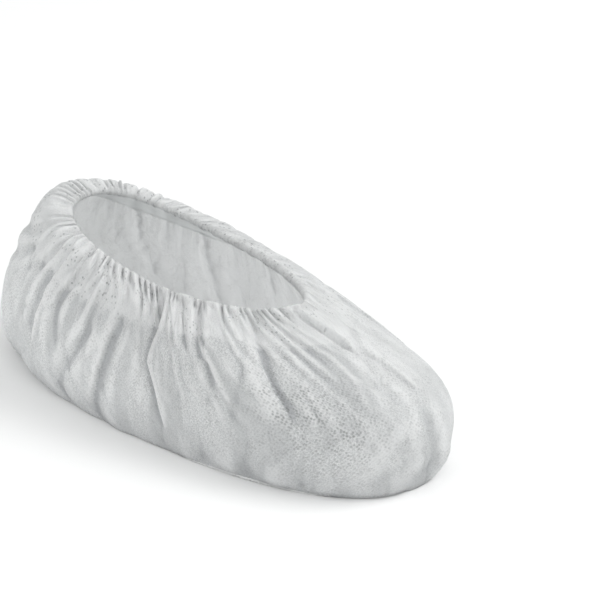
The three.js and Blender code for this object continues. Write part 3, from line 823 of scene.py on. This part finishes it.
class Steps:
    """A tree of Geometry Nodes that ends in Realize Instances and Set Material."""

    def __init__(self, name, inputs):
        self.tree = bpy.data.node_groups.new(name, "GeometryNodeTree")
        self.tree.is_modifier = True
        for title, kind in (("Geometry", "Geometry"), *inputs.items()):
            self.tree.interface.new_socket(title, in_out="INPUT", socket_type="NodeSocket" + kind)
        self.tree.interface.new_socket("Geometry", in_out="OUTPUT", socket_type="NodeSocketGeometry")
        self.given = self.tree.nodes.new("NodeGroupInput").outputs

    def node(self, kind, settings=None, inputs=None, output=0):
        made = self.tree.nodes.new(kind)
        for name, value in (settings or {}).items():
            setattr(made, name, value)
        for name, value in (inputs or {}).items():
            for link in value if isinstance(value, list) else [value]:
                if isinstance(link, bpy.types.NodeSocket):
                    self.tree.links.new(link, made.inputs[name])
                else:
                    made.inputs[name].default_value = link
        return made.outputs[output]

    def end(self, geometry, material):
        real = self.node("GeometryNodeRealizeInstances", {}, {"Geometry": geometry})
        done = self.node("GeometryNodeSetMaterial", {}, {"Geometry": real, "Material": material})
        self.tree.links.new(done, self.tree.nodes.new("NodeGroupOutput").inputs[0])

    def made_from(self, name, mesh, **values):
        """A plain mesh object: what the tree makes of the mesh."""
        carrier = bpy.data.objects.new(name, mesh)
        bpy.context.collection.objects.link(carrier)
        modifier = carrier.modifiers.new("steps", "NODES")
        modifier.node_group = self.tree
        for item in self.tree.interface.items_tree:
            if item.in_out == "INPUT" and item.name in values:
                modifier[item.identifier] = values[item.name]
        made = bpy.data.meshes.new_from_object(carrier.evaluated_get(bpy.context.evaluated_depsgraph_get()))
        carrier.modifiers.remove(modifier)
        carrier.data = made
        return carrier


def path_mesh(points, closed):
    """The points, in mm, joined by edges."""
    count = len(points)
    edges = [(i, (i + 1) % count) for i in range(count if closed else count - 1)]
    mesh = bpy.data.meshes.new("path")
    mesh.from_pydata((points + to_frame) * MM, edges, [])
    return mesh


rubber = Finish("elastic_rubber")
own = rubber.node("TexCoord", {}, {}, "Object")
dust = rubber.node("TexNoise", {}, {"Vector": own, "Scale": 900.0, "Detail": 3.0})
strands = rubber.node("TexWave", {"bands_direction": "DIAGONAL"}, {
    "Vector": own, "Scale": 500.0, "Distortion": 1.5})
rubber.surface(rubber.node("BsdfPrincipled", {}, {
    "Base Color": rubber.blend(dust, (0.66, 0.66, 0.63, 1), (0.80, 0.80, 0.77, 1)),
    "Roughness": 0.45 + 0.25 * dust,
    "Normal": rubber.node("Bump", {}, {"Height": strands, "Strength": 0.4, "Distance": 0.1 * MM})}))

thread_on_path = Steps("thread_on_path", {"Radius": "Float", "Sides": "Int", "Material": "Material"})
centre = thread_on_path.node("GeometryNodeMeshToCurve", {}, {"Mesh": thread_on_path.given["Geometry"]})
section = thread_on_path.node("GeometryNodeCurvePrimitiveCircle", {}, {
    "Radius": thread_on_path.given["Radius"], "Resolution": thread_on_path.given["Sides"]})
thread_on_path.end(
    thread_on_path.node("GeometryNodeCurveToMesh", {}, {"Curve": centre, "Profile Curve": section}),
    thread_on_path.given["Material"])
elastic_thread = thread_on_path.made_from(
    "elastic_thread", path_mesh(elastic_line[::3], closed=True),
    Radius=ELASTIC / 2 * MM, Sides=ELASTIC_SIDES, Material=rubber.material)
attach(elastic_thread, "root")
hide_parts("elastic")

# ---- Toe and heel seams ----
# The two edges of the flat bag, welded through both layers with a row of hot spots, and trimmed. The bag is
# turned after welding, so the edges stand inside the cover, from below the hem to the sole.
SEAM_WIDTH = 4               # how far the welded edge stands in from the cloth, mm
SEAM_GAP = 0.5               # mm between the edge and the cloth
SEAM_START = HEM_DEPTH + 3   # its upper end, mm below the rim
SEAM_END = 3.8               # its lower end, as a level of the form
SPOT_PITCH = 2.6             # mm between weld spots
SPOT = 0.8                   # radius of a weld spot, mm
WELDED = (0.95, 0.955, 0.955, 1)

weld = Finish("welded_edge")
own = weld.node("TexCoord", {}, {}, "Object")
haze = weld.node("TexNoise", {}, {"Vector": own, "Scale": 450.0, "Detail": 4.0})
ribs = weld.node("TexWave", {"bands_direction": "Z"}, {"Vector": own, "Scale": 320.0, "Distortion": 0.6})
weld.surface(weld.node("MixShader", {}, {
    0: 0.35,
    1: weld.node("BsdfPrincipled", {}, {
        "Base Color": weld.blend(weld.step(haze, 0.35, 0.65), (0.80, 0.81, 0.81, 1), WELDED),
        "Roughness": 0.35 + 0.3 * haze,
        "Normal": weld.node("Bump", {}, {"Height": ribs + haze, "Strength": 0.5, "Distance": 0.15 * MM})}),
    2: weld.node("BsdfTranslucent", {}, {"Color": WELDED})}))

weld_spots = Steps("weld_spots", {
    "Strip": "Object", "Spacing": "Float", "Radius": "Float", "Half Thickness": "Float",
    "Material": "Material"})
given = weld_spots.given
strip = weld_spots.node("GeometryNodeObjectInfo", {}, {"Object": given["Strip"]}, "Geometry")
seam_line = weld_spots.node("GeometryNodeMeshToCurve", {}, {"Mesh": given["Geometry"]})
spaced = weld_spots.node("GeometryNodeResampleCurve", {"mode": "LENGTH"}, {
    "Curve": seam_line, "Length": given["Spacing"]})
ball = weld_spots.node("GeometryNodeMeshIcoSphere", {}, {"Radius": given["Radius"], "Subdivisions": 2})
sides = []
for sign in (1, -1):
    away = weld_spots.node("ShaderNodeMath", {"operation": "MULTIPLY"}, {
        0: given["Half Thickness"], 1: sign})
    sides.append(weld_spots.node("GeometryNodeTransform", {}, {
        "Geometry": ball, "Scale": (1, 0.4, 1),
        "Translation": weld_spots.node("ShaderNodeCombineXYZ", {}, {"Y": away})}))
lens = weld_spots.node("GeometryNodeJoinGeometry", {}, {"Geometry": sides})
spots = weld_spots.node("GeometryNodeInstanceOnPoints", {}, {"Points": spaced, "Instance": lens})
weld_spots.end(
    weld_spots.node("GeometryNodeJoinGeometry", {}, {"Geometry": [strip, spots]}), given["Material"])


def welded_edge(name, column, cad_node):
    """The strip stands in from one column of the cloth, with a spot in its middle at every pitch."""
    rows = (drop[:, column] > SEAM_START) & (level[:, column] < SEAM_END)
    inwards = -outward[rows, column]
    foot = wall[rows, column] + inwards * (CLOTH + SEAM_GAP)
    edge = foot + inwards * SEAM_WIDTH
    half = np.array([0, CLOTH, 0])
    count = len(foot)
    corners = np.stack([foot + half, foot - half, edge - half, edge + half], 1)
    ring = np.arange(count * 4).reshape(count, 4)
    quads = np.stack([ring[:-1], ring[1:], np.roll(ring[1:], -1, 1), np.roll(ring[:-1], -1, 1)], -1)
    quads = [*quads.reshape(-1, 4).tolist(), ring[0].tolist(), ring[-1][::-1].tolist()]
    mesh = bpy.data.meshes.new(name + "_strip")
    mesh.from_pydata(((corners + to_frame) * MM).reshape(-1, 3), [], quads)
    shape = bmesh.new()
    shape.from_mesh(mesh)
    bmesh.ops.recalc_face_normals(shape, faces=shape.faces)
    shape.to_mesh(mesh)
    shape.free()
    strip = bpy.data.objects.new(name + "_strip", mesh)
    bpy.context.collection.objects.link(strip)
    piece = weld_spots.made_from(
        name, path_mesh((foot + edge) / 2, closed=False), Strip=strip, Spacing=SPOT_PITCH * MM,
        Radius=SPOT * MM, Material=weld.material, **{"Half Thickness": CLOTH * MM})
    bpy.data.objects.remove(strip)
    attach(piece, "root")
    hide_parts(cad_node)


welded_edge("toe_weld", 0, "toe_seam")
welded_edge("heel_weld", COLUMNS // 2, "heel_seam")

# ---- Studio ----
# A pale floor and soft light from above, stronger from the camera's right.
floor_finish = Finish("studio_floor")
floor_noise = floor_finish.node("TexNoise", {}, {
    "Vector": floor_finish.node("TexCoord", {}, {}, "Object"), "Scale": 3.0, "Detail": 2.0})
floor_material = floor_finish.surface(floor_finish.node("BsdfPrincipled", {}, {
    "Base Color": floor_finish.blend(floor_noise, (0.90, 0.90, 0.90, 1), (0.92, 0.92, 0.92, 1)),
    "Roughness": 0.9}))
bpy.ops.mesh.primitive_plane_add(size=8, location=(0, 0, 0))
floor = bpy.context.object
floor.name = "studio_floor"
floor.data.transform(floor.matrix_world)
floor.data.materials.append(floor_material)

world = bpy.data.worlds.new("studio")
world.use_nodes = True
world.node_tree.nodes["Background"].inputs["Color"].default_value = (0.98, 0.99, 0.985, 1)
world.node_tree.nodes["Background"].inputs["Strength"].default_value = 0.8
bpy.context.scene.world = world
bpy.context.scene.view_settings.view_transform = "Standard"


def soft_box(name, place, size, power):
    light = bpy.data.objects.new(name, bpy.data.lights.new(name, "AREA"))
    light.data.size, light.data.energy = size, power
    light.location = place
    light.rotation_mode = "QUATERNION"
    light.rotation_quaternion = (Vector((0, 0, 0.05)) - light.location).to_track_quat("-Z", "Y")
    bpy.context.collection.objects.link(light)


soft_box("key_light", Vector((0.95, 0.8, 1.4)), 0.9, 17)
soft_box("fill_light", Vector((-0.6, -1.6, 1.1)), 1.8, 7)
